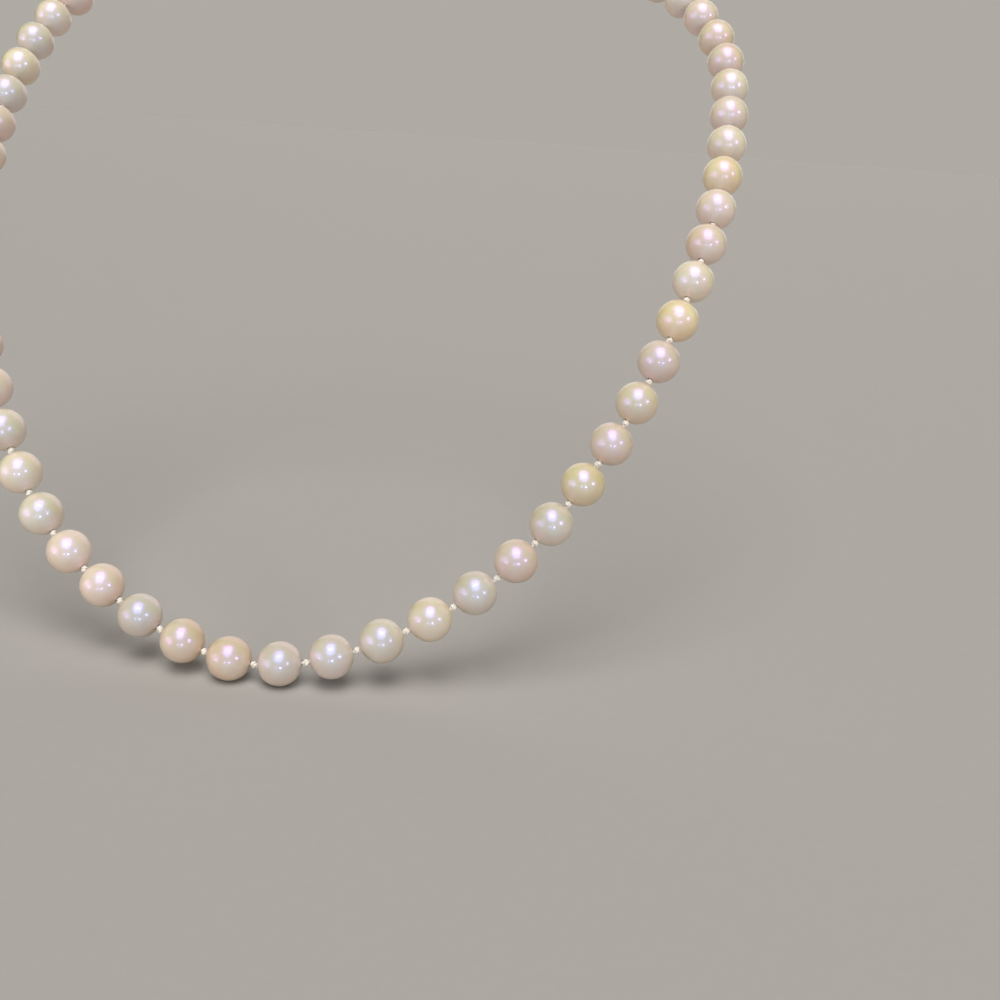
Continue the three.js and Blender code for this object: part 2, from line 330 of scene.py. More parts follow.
def object_noise(tree, place, size, detail):
    """Noise with features of this size in metres."""
    node = add_node(tree, "ShaderNodeTexNoise",
                    {"Vector": place, "Scale": 1 / size, "Detail": detail})
    return node.outputs[0]


def remapped(tree, value, low, high, to_low=0.0, to_high=1.0):
    """A value's range from low to high, laid over another range."""
    node = add_node(tree, "ShaderNodeMapRange", {
        "Value": value, "From Min": low, "From Max": high, "To Min": to_low, "To Max": to_high})
    return node.outputs[0]


def two_tone(tree, share, first, second):
    """Two colours mixed by a share."""
    node = add_node(tree, "ShaderNodeMix", {0: share, 6: opaque(first), 7: opaque(second)},
                    data_type="RGBA")
    return node.outputs[2]


def new_finish(name):
    """A new material, its node tree, and the Object coordinates that its patterns follow."""
    finish = bpy.data.materials.new(name)
    finish.use_nodes = True
    tree = finish.node_tree
    return finish, tree, add_node(tree, "ShaderNodeTexCoord").outputs["Object"]


def set_skin(tree, sockets):
    """Sets or links the inputs of a material's shader."""
    set_inputs(tree, tree.nodes["Principled BSDF"], sockets)


def new_shape_tree(name, inputs):
    """A geometry tree that takes a path and these named inputs, and its input sockets."""
    tree = bpy.data.node_groups.new(name, "GeometryNodeTree")
    tree.is_modifier = True
    tree.interface.new_socket(name="Path", in_out="INPUT", socket_type="NodeSocketGeometry")
    for label, socket_type in inputs:
        tree.interface.new_socket(name=label, in_out="INPUT", socket_type=socket_type)
    tree.interface.new_socket(name="Shape", in_out="OUTPUT", socket_type="NodeSocketGeometry")
    return tree, tree.nodes.new("NodeGroupInput").outputs


def close_shape_tree(tree, shape, finish):
    """Ends a tree in smooth faces, real meshes instead of instances, and their material."""
    smooth = add_node(tree, "GeometryNodeSetShadeSmooth", {0: shape})
    real = add_node(tree, "GeometryNodeRealizeInstances", {0: smooth.outputs[0]})
    painted = add_node(tree, "GeometryNodeSetMaterial",
                       {"Geometry": real.outputs[0], "Material": finish})
    add_node(tree, "NodeGroupOutput", {0: painted.outputs[0]})
    return tree


def new_object(name, data):
    """A new object in the scene, at the origin."""
    made = bpy.data.objects.new(name, data)
    bpy.context.scene.collection.objects.link(made)
    return made


def baked(carrier):
    """The plain mesh that a carrier's modifiers make. The carrier itself is removed."""
    depsgraph = bpy.context.evaluated_depsgraph_get()
    mesh = bpy.data.meshes.new_from_object(carrier.evaluated_get(depsgraph), depsgraph=depsgraph)
    carrier.modifiers.clear()
    bpy.data.objects.remove(carrier)
    return mesh


def mesh_of(shape, name, finish):
    """A mesh with one material, from a bmesh that is freed."""
    mesh = bpy.data.meshes.new(name)
    shape.to_mesh(mesh)
    shape.free()
    mesh.materials.append(finish)
    return mesh


def declare(piece, body, node):
    """Attaches a piece to the body that it rides on and hides the CAD solid that it replaces."""
    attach(piece, body)
    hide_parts(node)


def piece_from_tree(name, tree, values, path=None):
    """A plain mesh piece from a tree and its inputs' values, along a path if it follows one."""
    carrier = new_object(name + "_carrier", path or bpy.data.meshes.new(name + "_start"))
    modifier = carrier.modifiers.new("Shape", "NODES")
    modifier.node_group = tree
    sockets = {item.name: item.identifier for item in tree.interface.items_tree
               if item.item_type == "SOCKET" and item.in_out == "INPUT"}
    for label, value in values.items():
        modifier[sockets[label]] = value
    mesh = baked(carrier)
    if not mesh.polygons:
        raise RuntimeError(f"{name} came out empty")
    return piece_from_mesh(name, mesh)


def piece_from_mesh(name, mesh):
    """Links a mesh as a piece at the origin, with its normals outwards and its edges crisp."""
    shape = bmesh.new()
    shape.from_mesh(mesh)
    bmesh.ops.recalc_face_normals(shape, faces=shape.faces)
    shape.to_mesh(mesh)
    shape.free()
    mesh.name = name
    mesh.shade_smooth()
    mesh.set_sharp_from_angle(angle=CREASE_ANGLE)
    return new_object(name, mesh)


# The strand's line ------------------------------------------------------------------------------


def mirrored(point):
    """The same point on the other side."""
    return Vector((-point.x, point.y, point.z))


def strand_points():
    """The strand's line as a fine closed polyline in metres, and its length up to each point."""
    right = [Vector(point) * MM for point in SIDE_LINE]
    left = [mirrored(point) for point in reversed(right)]
    ring = [Vector(FRONT) * MM, *right, Vector(NAPE) * MM, *left]
    count = len(ring)
    line = []
    for step in range(LINE_DIVISIONS + 1):
        along = count * step / LINE_DIVISIONS
        first = int(along)
        corners = [ring[(first + place) % count] for place in (-1, 0, 1, 2)]
        line.append(catmull_rom(*corners, along - first))
    lengths = [0.0]
    for before, after in zip(line, line[1:]):
        lengths.append(lengths[-1] + (after - before).length)
    return line, lengths


def catmull_rom(a, b, c, d, share):
    """A point between b and c on the centripetal spline through a, b, c and d."""
    ab, bc, cd = math.sqrt((b - a).length), math.sqrt((c - b).length), math.sqrt((d - c).length)
    leaving = ((b - a) / ab - (c - a) / (ab + bc) + (c - b) / bc) * bc
    arriving = ((c - b) / bc - (d - b) / (bc + cd) + (d - c) / cd) * bc
    square, cube = share * share, share ** 3
    return (b + leaving * share + (3 * (c - b) - 2 * leaving - arriving) * square
            + (2 * (b - c) + leaving + arriving) * cube)


def knots(pitch, count):
    """Right-hand knots in metres, from the front centre; they have to match the CAD's hinges."""
    line, lengths = strand_points()
    found = []
    step = 0
    for number in range(count + 1):
        wanted = number * pitch
        while lengths[step + 1] < wanted:
            step += 1
        share = (wanted - lengths[step]) / (lengths[step + 1] - lengths[step])
        found.append(line[step].lerp(line[step + 1], share))
    for joint in frame["joints"]:
        if joint["name"].startswith("knot_right_"):
            gap = (Vector(joint["pos_m"]) - found[int(joint["name"][-2:])]).length
            if gap > KNOT_TOLERANCE:
                raise RuntimeError(f"{joint['name']} is {gap} m off the strand's line")
    return found


class Strand:
    """Where every knot and pearl sits, and the body that each rides on."""

    def __init__(self, sizes):
        self.radius = sizes.pearl_diameter / 2
        right = knots(sizes.knot_pitch, sizes.pearls_per_side)
        self.knots = {1: right, -1: [mirrored(point) for point in right]}
        self.count = sizes.pearls_per_side

    def centre(self, side, number):
        if number == 0:
            return self.centre(-side, 1)
        return (self.knots[side][number - 1] + self.knots[side][number]) / 2

    def along(self, side, number):
        if number == 0:
            return -self.along(-side, 1)
        return (self.knots[side][number] - self.knots[side][number - 1]).normalized()

    def body(self, side_name, number):
        return f"{side_name}_{number:02d}" if self.is_hinged(side_name, number) else "nape"

    def is_hinged(self, side_name, number):
        return f"{side_name}_{number:02d}" in frame["bodies"]


# Pearls -----------------------------------------------------------------------------------------


PEARL_ARC_POINTS = 24
PEARL_SPOKES = 44
SPINDLE = 1e-6
WAVE_LENGTH = 4.5 * MM
SEED_STEP = (13.7, 7.9, 5.3)
LENGTH_SPREAD = 0.008
GOLDEN_TURN = math.radians(137.5)


def pearl_tree():
    """A drilled ball turned on its hole: an arc swept round a spindle, waved a little by noise."""
    tree, given = new_shape_tree("Drilled pearl", (
        ("Diameter", "NodeSocketFloat"), ("Drill hole", "NodeSocketFloat"),
        ("Centre", "NodeSocketVector"), ("Along", "NodeSocketVector"),
        ("Length share", "NodeSocketFloat"), ("Waviness", "NodeSocketFloat"),
        ("Seed", "NodeSocketFloat"), ("Finish", "NodeSocketMaterial")))
    radius = maths(tree, "MULTIPLY", given["Diameter"], 0.5)
    share = maths(tree, "DIVIDE", given["Drill hole"], given["Diameter"])
    rim = maths(tree, "ARCSINE", share)
    start = maths(tree, "SUBTRACT", rim, math.pi / 2)
    sweep = maths(tree, "MULTIPLY_ADD", rim, -2.0, math.pi)
    arc = add_node(tree, "GeometryNodeCurveArc", {
        "Resolution": PEARL_ARC_POINTS, "Radius": radius, "Start Angle": start,
        "Sweep Angle": sweep}, mode="RADIUS")
    closed = add_node(tree, "GeometryNodeSetSplineCyclic",
                      {"Geometry": arc.outputs[0], "Cyclic": True})
    spindle = add_node(tree, "GeometryNodeCurvePrimitiveCircle",
                       {"Resolution": PEARL_SPOKES, "Radius": SPINDLE})
    ball = add_node(tree, "GeometryNodeCurveToMesh",
                    {"Curve": spindle.outputs[0], "Profile Curve": closed.outputs[0]})
    stretch = add_node(tree, "ShaderNodeCombineXYZ", {0: 1.0, 1: 1.0, 2: given["Length share"]})
    turn = add_node(tree, "FunctionNodeAlignRotationToVector", {"Vector": given["Along"]},
                    axis="Z")
    longer = add_node(tree, "GeometryNodeTransform",
                      {"Geometry": ball.outputs[0], "Scale": stretch.outputs[0]})
    placed = add_node(tree, "GeometryNodeTransform", {
        "Geometry": longer.outputs[0], "Translation": given["Centre"],
        "Rotation": turn.outputs[0]})
    shift = scaled(tree, SEED_STEP, given["Seed"])
    position = add_node(tree, "GeometryNodeInputPosition")
    waves = vector_maths(tree, "MULTIPLY_ADD", position.outputs[0], (1 / WAVE_LENGTH,) * 3, shift)
    noise = add_node(tree, "ShaderNodeTexNoise", {"Vector": waves, "Scale": 1.0, "Detail": 1.0})
    level = maths(tree, "SUBTRACT", noise.outputs[0], 0.5)
    height = maths(tree, "MULTIPLY", level, given["Waviness"])
    normal = add_node(tree, "GeometryNodeInputNormal")
    waved = add_node(tree, "GeometryNodeSetPosition", {
        "Geometry": placed.outputs[0], "Offset": scaled(tree, normal.outputs[0], height)})
    return close_shape_tree(tree, waved.outputs[0], given["Finish"])


# A cultured sea-water pearl: layers of aragonite over a bead. It gives the eye a soft white core
# of light under a clear skin, a rosy or green bloom round it, and a warm, creamy shade side.
NACRE_DRIFT = 5.0 * MM
NACRE_GRAIN = 0.45 * MM
NACRE_PIT_SPACING = 2.4 * MM


def nacre_finish(kind, gain, suffix):
    """One nacre, with its body and drift made lighter by gain; a gain above 1 paints in the
    stronger light on the upper pearls.
    """
    body, drift, edge, film = NACRES[kind]
    body, drift = (tuple(min(1.0, part * gain) for part in linear(tone)) for tone in (body, drift))
    finish, tree, place = new_finish("nacre_" + kind + suffix)
    clouds = add_node(tree, "ShaderNodeTexNoise", {
        "Vector": place, "Scale": 1 / NACRE_DRIFT, "Detail": 2.0, "Roughness": 0.45}).outputs[0]
    cells = add_node(tree, "ShaderNodeTexVoronoi", {
        "Vector": place, "Scale": 1 / NACRE_PIT_SPACING})
    skin_grain = add_node(tree, "ShaderNodeBump", {
        "Strength": 0.35, "Distance": 0.006 * MM,
        "Height": object_noise(tree, place, NACRE_GRAIN, 2.0)})
    skin_pits = add_node(tree, "ShaderNodeBump", {
        "Strength": 0.5, "Distance": 0.02 * MM,
        "Height": remapped(tree, cells.outputs["Distance"], 0.02, 0.07),
        "Normal": skin_grain.outputs[0]})
    set_skin(tree, {
        "Base Color": two_tone(tree, remapped(tree, clouds, 0.35, 0.68), body, drift),
        "Roughness": remapped(tree, clouds, 0.3, 0.7, 0.33, 0.4),
        "Normal": skin_pits.outputs[0],
        "IOR": 2.25,
        "Specular IOR Level": 0.95,
        "Subsurface Weight": 0.34,
        "Subsurface Radius": (1.0, 0.55, 0.35),
        "Subsurface Scale": 1.6 * MM,
        "Coat Weight": 0.7,
        "Coat Roughness": 0.11,
        "Coat IOR": 1.5,
        "Sheen Weight": 0.2,
        "Sheen Roughness": 0.28,
        "Sheen Tint": opaque(linear(edge)),
        "Thin Film Thickness": film,
        "Thin Film IOR": 2.175,
    })
    return finish


class NECKLACE_OT_pearls(bpy.types.Operator):
    """Builds every pearl, each drilled along the strand, on its own body where it has a hinge and
    on the nape's body otherwise
    """

    bl_idname = "necklace.pearls"
    bl_label = "Pearls"

    def execute(self, context):
        sizes = context.scene.strand_sizes
        strand = Strand(sizes)
        tree = pearl_tree()
        # Each nacre plain, and as a copy whose body colour is brightened with painted light for
        # the upper pearls
        finishes = {(kind, painted_light_copy): nacre_finish(kind, PAINTED_LIGHT_GAIN if painted_light_copy else 1.0, suffix)
                    for kind in NACRES for painted_light_copy, suffix in ((False, ""), (True, "_fair"))}
        for side_name, side in SIDES:
            looks = RIGHT_PEARLS if side > 0 else LEFT_PEARLS
            for number in range(1, strand.count + 1):
                kind = looks[number - 1]
                seed = 2.0 * number + (0.0 if side > 0 else 1.0)
                piece = piece_from_tree(f"drilled_pearl_{side_name}_{number:02d}", tree, {
                    "Diameter": sizes.pearl_diameter,
                    "Drill hole": sizes.drill_hole,
                    "Centre": strand.centre(side, number),
                    "Along": strand.along(side, number),
                    "Length share": 1.0 + LENGTH_SPREAD * math.sin(seed * GOLDEN_TURN),
                    "Waviness": sizes.waviness,
                    "Seed": seed,
                    # The upper pearls take the copy brightened with painted light
                    "Finish": finishes[kind, number >= PAINTED_LIGHT_FROM[side_name]],
                })
                hinged = strand.is_hinged(side_name, number)
                declare(piece, strand.body(side_name, number),
                        f"pearl_{side_name}_{number:02d}" if hinged
                        else f"back_pearls_{side_name}")
        return {"FINISHED"}


# Silk -------------------------------------------------------------------------------------------


PLIES = 3
PLY_SIDES = 6
LAY = 1.5 * MM
PLY_OFFSET_SHARE = 0.24
PLY_RADIUS_SHARE = 0.27


def silk_tree():
    """Three plies twisted round each other along a path."""
    tree, given = new_shape_tree("Three-ply silk", (
        ("Thread diameter", "NodeSocketFloat"), ("Lay", "NodeSocketFloat"),
        ("Finish", "NodeSocketMaterial")))
    offset = maths(tree, "MULTIPLY", given["Thread diameter"], PLY_OFFSET_SHARE)
    ply_radius = maths(tree, "MULTIPLY", given["Thread diameter"], PLY_RADIUS_SHARE)
    places = add_node(tree, "GeometryNodeCurvePrimitiveCircle",
                      {"Resolution": PLIES, "Radius": offset})
    spots = add_node(tree, "GeometryNodeCurveToPoints", {"Curve": places.outputs[0]},
                     mode="EVALUATED")
    ply = add_node(tree, "GeometryNodeCurvePrimitiveCircle",
                   {"Resolution": PLY_SIDES, "Radius": ply_radius})
    plies = add_node(tree, "GeometryNodeInstanceOnPoints",
                     {"Points": spots.outputs[0], "Instance": ply.outputs[0]})
    profile = add_node(tree, "GeometryNodeRealizeInstances", {0: plies.outputs[0]})
    spline = add_node(tree, "GeometryNodeSplineParameter")
    turns = maths(tree, "DIVIDE", spline.outputs["Length"], given["Lay"])
    tilt = maths(tree, "MULTIPLY", turns, 2 * math.pi)
    twisted = add_node(tree, "GeometryNodeSetCurveTilt", {"Curve": given["Path"], "Tilt": tilt})
    thread = add_node(tree, "GeometryNodeCurveToMesh", {
        "Curve": twisted.outputs[0], "Profile Curve": profile.outputs[0], "Fill Caps": True})
    return close_shape_tree(tree, thread.outputs[0], given["Finish"])


def path_curve(name, runs):
    """A curve with one straight-sided spline for each run of points."""
    curve = bpy.data.curves.new(name, "CURVE")
    curve.dimensions = "3D"
    for run in runs:
        spline = curve.splines.new("POLY")
        spline.points.add(len(run) - 1)
        for place, point in zip(spline.points, run):
            place.co = (*point, 1.0)
    return curve


KNOT_LENGTH = 0.6 * MM
KNOT_FORWARD = 0.07 * MM
KNOT_TURNS = 2.2
KNOT_STEPS = 34
KNOT_SLANT = 0.09 * MM
KNOT_FULLNESS = 0.4
LEFT_KNOT_SHIFT = 0.4
TUCK = 0.2 * MM
BORE_STEPS = 4


def silk_run(strand, sizes, side, number):
    """The silk through one pearl and the knot at its outer end, tucked into the next pearl."""
    knot = strand.knots[side][number]
    before = strand.along(side, number)
    last = number == strand.count
    after = before if last else strand.along(side, number + 1)
    axis = (before + after).normalized()
    across = axis.cross(Vector((0.0, 0.0, 1.0))).normalized()
    rise = across.cross(axis)
    wrap = (sizes.knot_diameter - sizes.thread_diameter) / 2
    run = []
    if number > 0:
        entry = strand.centre(side, number) - before * (strand.radius - TUCK)
        rim = strand.centre(side, number) + before * strand.radius
        run += [entry.lerp(rim, step / BORE_STEPS) for step in range(BORE_STEPS)]
    else:
        run.append(strand.centre(side, 0) + before * (strand.radius - TUCK))
    phase = GOLDEN_TURN * (number + (0.0 if side > 0 else LEFT_KNOT_SHIFT))
    for step in range(KNOT_STEPS + 1):
        share = step / KNOT_STEPS
        angle = 2 * math.pi * KNOT_TURNS * share + phase
        reach = wrap * math.sin(math.pi * share) ** KNOT_FULLNESS
        slant = KNOT_SLANT * math.cos(angle) * reach / wrap
        forward = KNOT_FORWARD + (share - 0.5) * KNOT_LENGTH + slant
        run.append(knot + axis * forward + across * math.cos(angle) * reach
                   + rise * math.sin(angle) * reach)
    if last:
        run.append(knot + axis * KNOT_LENGTH)
    else:
        run.append(strand.centre(side, number + 1) - after * (strand.radius - TUCK))
    return run


# Bleached silk, spun and plied from thousands of filaments: matt with a soft sheen along the
# plies, and a little fuzz, which shows as a fine grain.
SILK_GRAIN = 0.09 * MM


def silk_finish(colour):
    finish, tree, place = new_finish("plied_silk")
    fuzz = object_noise(tree, place, SILK_GRAIN, 3.0)
    bump = add_node(tree, "ShaderNodeBump", {
        "Strength": 0.4, "Distance": 0.015 * MM, "Height": fuzz})
    shaded = [0.9 * channel for channel in colour]
    set_skin(tree, {
        "Base Color": two_tone(tree, remapped(tree, fuzz, 0.3, 0.7), shaded, colour),
        "Normal": bump.outputs[0],
        "Roughness": 0.7,
        "Subsurface Weight": 0.25,
        "Subsurface Radius": (1.0, 0.8, 0.6),
        "Subsurface Scale": 0.3 * MM,
        "Sheen Weight": 0.35,
        "Sheen Roughness": 0.4,
    })
    return finish


LOOP_THREAD = 0.38 * MM
LOOP_RADIUS = 1.1 * MM
LOOP_START = 0.6 * MM
LOOP_SPREAD = 0.62 * MM
RING_WIRE_X = 8.4 * MM
LOOP_ARC_STEPS = 18
LOOP_LEG_STEPS = 12


def loop_path(strand, side):
    """Out from the last knot, round a ring's wire, and back."""
    end = strand.knots[side][-1]
    nape_y = NAPE[1] * MM
    start = end - Vector((side * LOOP_START, 0.0, 0.0))
    upper = start + Vector((0.0, 0.0, LOOP_SPREAD))
    lower = start - Vector((0.0, 0.0, LOOP_SPREAD))
    top = Vector((side * RING_WIRE_X, nape_y, LOOP_RADIUS))
    bottom = Vector((side * RING_WIRE_X, nape_y, -LOOP_RADIUS))
    run = [upper.lerp(top, step / LOOP_LEG_STEPS) for step in range(LOOP_LEG_STEPS)]
    for step in range(LOOP_ARC_STEPS + 1):
        angle = math.pi * step / LOOP_ARC_STEPS
        run.append(Vector((side * (RING_WIRE_X - LOOP_RADIUS * math.sin(angle)), nape_y,
                           LOOP_RADIUS * math.cos(angle))))
    run += [bottom.lerp(lower, step / LOOP_LEG_STEPS) for step in range(1, LOOP_LEG_STEPS + 1)]
    return run


def add_silk(name, tree, values, runs, body, node):
    """Builds one piece of silk along its runs of points."""
    piece = piece_from_tree(name, tree, values, path_curve(name + "_path", runs))
    declare(piece, body, node)


class NECKLACE_OT_silk(bpy.types.Operator):
    """Builds the silk: a run through each pearl with its knot, and the loops at both ends"""

    bl_idname = "necklace.silk"
    bl_label = "Silk and knots"

    def execute(self, context):
        sizes = context.scene.strand_sizes
        strand = Strand(sizes)
        tree = silk_tree()
        finish = silk_finish(context.scene.necklace_colours.silk)
        values = {"Thread diameter": sizes.thread_diameter, "Lay": LAY, "Finish": finish}
        for side_name, side in SIDES:
            back = []
            for number in range(0 if side > 0 else 1, strand.count + 1):
                run = silk_run(strand, sizes, side, number)
                if number and not strand.is_hinged(side_name, number):
                    back.append(run)
                    continue
                add_silk(f"silk_knot_{side_name}_{number:02d}", tree, values, [run],
                         strand.body(side_name, max(number, 1)), "silk_thread")
            back_node = f"back_pearls_{side_name}"
            add_silk(f"silk_knots_back_{side_name}", tree, values, back, "nape", back_node)
            end = strand.knots[side][-1]
            loop = [end, *loop_path(strand, side), end]
            add_silk(f"silk_end_loop_{side_name}", tree,
                     {**values, "Thread diameter": LOOP_THREAD}, [loop], "nape", back_node)
        return {"FINISHED"}


# Coiled wire ------------------------------------------------------------------------------------


COIL_WIRE_SIDES = 8


def round_wire(tree, line, diameter, sides):
    """A round wire with this many sides along a line, closed at its ends."""
    section = add_node(tree, "GeometryNodeCurvePrimitiveCircle",
                       {"Resolution": sides, "Radius": maths(tree, "MULTIPLY", diameter, 0.5)})
    wire = add_node(tree, "GeometryNodeCurveToMesh", {
        "Curve": line, "Profile Curve": section.outputs[0], "Fill Caps": True})
    return wire.outputs[0]


def coil_tree():
    """Wire wound round a path."""
    tree, given = new_shape_tree("Wound wire", (
        ("Coil radius", "NodeSocketFloat"), ("Wire diameter", "NodeSocketFloat"),
        ("Turns", "NodeSocketFloat"), ("Steps", "NodeSocketInt"),
        ("Finish", "NodeSocketMaterial")))
    even = add_node(tree, "GeometryNodeResampleCurve",
                    {"Curve": given["Path"], "Count": given["Steps"]})
    spline = add_node(tree, "GeometryNodeSplineParameter")
    turn = maths(tree, "MULTIPLY", spline.outputs["Factor"], given["Turns"])
    angle = maths(tree, "MULTIPLY", turn, 2 * math.pi)
    normal = add_node(tree, "GeometryNodeInputNormal").outputs[0]
    tangent = add_node(tree, "GeometryNodeInputTangent").outputs[0]
    binormal = vector_maths(tree, "CROSS_PRODUCT", tangent, normal)
    side_part = scaled(tree, normal, maths(tree, "COSINE", angle))
    up_part = scaled(tree, binormal, maths(tree, "SINE", angle))
    spoke = vector_maths(tree, "ADD", side_part, up_part)
    wound = add_node(tree, "GeometryNodeSetPosition", {
        "Geometry": even.outputs[0], "Offset": scaled(tree, spoke, given["Coil radius"])})
    wire = round_wire(tree, wound.outputs[0], given["Wire diameter"], COIL_WIRE_SIDES)
    return close_shape_tree(tree, wire, given["Finish"])


BULLION_TURNS = 44
STEPS_PER_TURN = 14
SPRING_TURNS = 3
SPRING_FOOT = (1.1 * MM, 3.25 * MM, -1.05 * MM)
SPRING_HEIGHT = 1.2 * MM


class NECKLACE_OT_bullion(bpy.types.Operator):
    """Builds the coiled bullion wire that guards the silk where it rubs on the rings"""

    bl_idname = "necklace.bullion"
    bl_label = "Bullion wire"

    def execute(self, context):
        sizes = context.scene.fitting_sizes
        strand = Strand(context.scene.strand_sizes)
        tree = coil_tree()
        finish = silver_finish(context, "bullion_wire", roughness=0.3)
        for side_name, side in SIDES:
            name = f"bullion_{side_name}"
            piece = piece_from_tree(name, tree, {
                "Coil radius": sizes.bullion_radius, "Wire diameter": sizes.bullion_wire,
                "Turns": float(BULLION_TURNS), "Steps": BULLION_TURNS * STEPS_PER_TURN,
                "Finish": finish}, path_curve(name + "_path", [loop_path(strand, side)]))
            declare(piece, "nape", f"gimp_{side_name}")
        return {"FINISHED"}


class NECKLACE_OT_spring(bpy.types.Operator):
    """Builds the small coil spring in the clasp's well"""

    bl_idname = "necklace.spring"
    bl_label = "Clasp spring"

    def execute(self, context):
        sizes = context.scene.fitting_sizes
        foot = Vector(SPRING_FOOT)
        path = path_curve("clasp_coil_path", [[foot, foot + Vector((0.0, 0.0, SPRING_HEIGHT))]])
        piece = piece_from_tree("clasp_coil", coil_tree(), {
            "Coil radius": sizes.spring_radius, "Wire diameter": sizes.spring_wire,
            "Turns": float(SPRING_TURNS), "Steps": SPRING_TURNS * 2 * STEPS_PER_TURN,
            "Finish": spring_finish(context)}, path)
        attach(piece, "nape")
        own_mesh(piece)
        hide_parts("clasp_spring")
        return {"FINISHED"}


# Rings and clasp --------------------------------------------------------------------------------


RING_JOINT = math.radians(1.6)
RING_STEPS = 72
RING_WIRE_SIDES = 20


def ring_tree():
    """A round wire bent to a ring, with a hairline joint where its ends meet."""
    tree, given = new_shape_tree("Wire ring", (
        ("Ring radius", "NodeSocketFloat"), ("Wire diameter", "NodeSocketFloat"),
        ("Joint angle", "NodeSocketFloat"), ("Centre", "NodeSocketVector"),
        ("Finish", "NodeSocketMaterial")))
    bend = add_node(tree, "GeometryNodeCurveArc", {
        "Resolution": RING_STEPS, "Radius": given["Ring radius"],
        "Start Angle": given["Joint angle"], "Sweep Angle": 2 * math.pi - RING_JOINT},
        mode="RADIUS")
    wire = round_wire(tree, bend.outputs[0], given["Wire diameter"], RING_WIRE_SIDES)
    placed = add_node(tree, "GeometryNodeTransform",
                      {"Geometry": wire, "Translation": given["Centre"]})
    return close_shape_tree(tree, placed.outputs[0], given["Finish"])


SCRATCH_WIDTH = 0.12 * MM
TARNISH_SIZE = 2.5 * MM
SILVER_TARNISH = (0.86, 0.85, 0.82)


def metal_finish(name, roughness, bright, dull):
    """Metal rubbed on a cloth wheel: bright, with hair-fine marks and patches a little duller."""
    finish, tree, place = new_finish(name)
    stretched = add_node(tree, "ShaderNodeMapping", {"Vector": place, "Scale": (0.15, 1.0, 1.0)})
    marks = object_noise(tree, stretched.outputs[0], SCRATCH_WIDTH, 3.0)
    bump = add_node(tree, "ShaderNodeBump", {
        "Strength": 0.15, "Distance": 0.01 * MM, "Height": marks})
    set_skin(tree, {
        "Base Color": two_tone(tree, object_noise(tree, place, TARNISH_SIZE, 2.0), bright, dull),
        "Roughness": remapped(tree, marks, 0.3, 0.7, roughness * 0.7, roughness * 1.3),
        "Normal": bump.outputs[0],
        "Metallic": 1.0,
    })
    return finish


def silver_finish(context, name, roughness):
    """Polished silver: a bright mirror, warmer where it has begun to tarnish."""
    colour = context.scene.necklace_colours.silver
    dull = [share * channel for share, channel in zip(SILVER_TARNISH, colour)]
    return metal_finish(name, roughness, colour, dull)


def spring_finish(context):
    """Drawn spring steel: grey, with a satin shine."""
    colour = context.scene.necklace_colours.spring_steel
    return metal_finish("spring_steel", 0.32, colour, [0.8 * channel for channel in colour])


class NECKLACE_OT_rings(bpy.types.Operator):
    """Builds the jump ring on the clasp and the end ring that it hooks"""

    bl_idname = "necklace.rings"
    bl_label = "Rings"

    def execute(self, context):
        sizes = context.scene.fitting_sizes
        tree = ring_tree()
        finish = silver_finish(context, "polished_silver_wire", roughness=0.14)
        nape_y = NAPE[1] * MM
        rings = (
            ("jump_ring", "wire_jump_ring", sizes.jump_ring_radius, sizes.jump_ring_wire,
             RING_WIRE_X - sizes.jump_ring_radius, math.radians(60)),
            ("end_ring", "wire_end_ring", sizes.end_ring_radius, sizes.end_ring_wire,
             sizes.end_ring_radius - RING_WIRE_X, math.radians(100)),
        )
        for node_name, name, radius, wire, centre_x, joint_angle in rings:
            piece = piece_from_tree(name, tree, {
                "Ring radius": radius, "Wire diameter": wire, "Joint angle": joint_angle,
                "Centre": (centre_x, nape_y, 0.0), "Finish": finish})
            declare(piece, "nape", node_name)
        return {"FINISHED"}


WELD_DISTANCE = 1e-7
CAST_SMOOTHING = 9
CAST_DOME = 0.22
CAST_HALF = (6.5 * MM, 3.2 * MM)


def cast_copy(name, node_name, grid, finish):
    """A CAD solid as a cast and tumbled piece: the same shape with its edges softened."""
    mesh = frame["nodes"][node_name].data.copy()
    shape = bmesh.new()
    shape.from_mesh(mesh)
    bmesh.ops.remove_doubles(shape, verts=shape.verts, dist=WELD_DISTANCE)
    shape.to_mesh(mesh)
    shape.free()
    carrier = new_object(name + "_carrier", mesh)
    even = carrier.modifiers.new("Even skin", "REMESH")
    even.mode = "VOXEL"
    even.voxel_size = grid
    soft = carrier.modifiers.new("Tumbled edges", "SMOOTH")
    soft.factor = 0.5
    soft.iterations = CAST_SMOOTHING
    made = baked(carrier)
    dome(made)
    made.materials.clear()
    made.materials.append(finish)
    return piece_from_mesh(name, made)


def dome(mesh):
    """Thins the clasp towards its outline, so that its two faces are slightly domed."""
    low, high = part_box("clasp_body")
    middle = (low + high) / 2
    for vertex in mesh.vertices:
        across = (vertex.co.x - middle.x) / CAST_HALF[0]
        rise = (vertex.co.z - middle.z) / CAST_HALF[1]
        share = 1 - CAST_DOME * min(1.0, across * across + rise * rise)
        vertex.co.y = middle.y + (vertex.co.y - middle.y) * share


PIN_RADIUS = 0.35 * MM
PIN_DOME = 0.12 * MM
PIN_SIDES = 32

# From one end of the rivet inwards: how far past the end, in domes, and the share of its radius
RIVET_PROFILE = ((1.0, 0.25), (0.75, 0.6), (0.2, 0.92), (-1.0, 1.0))


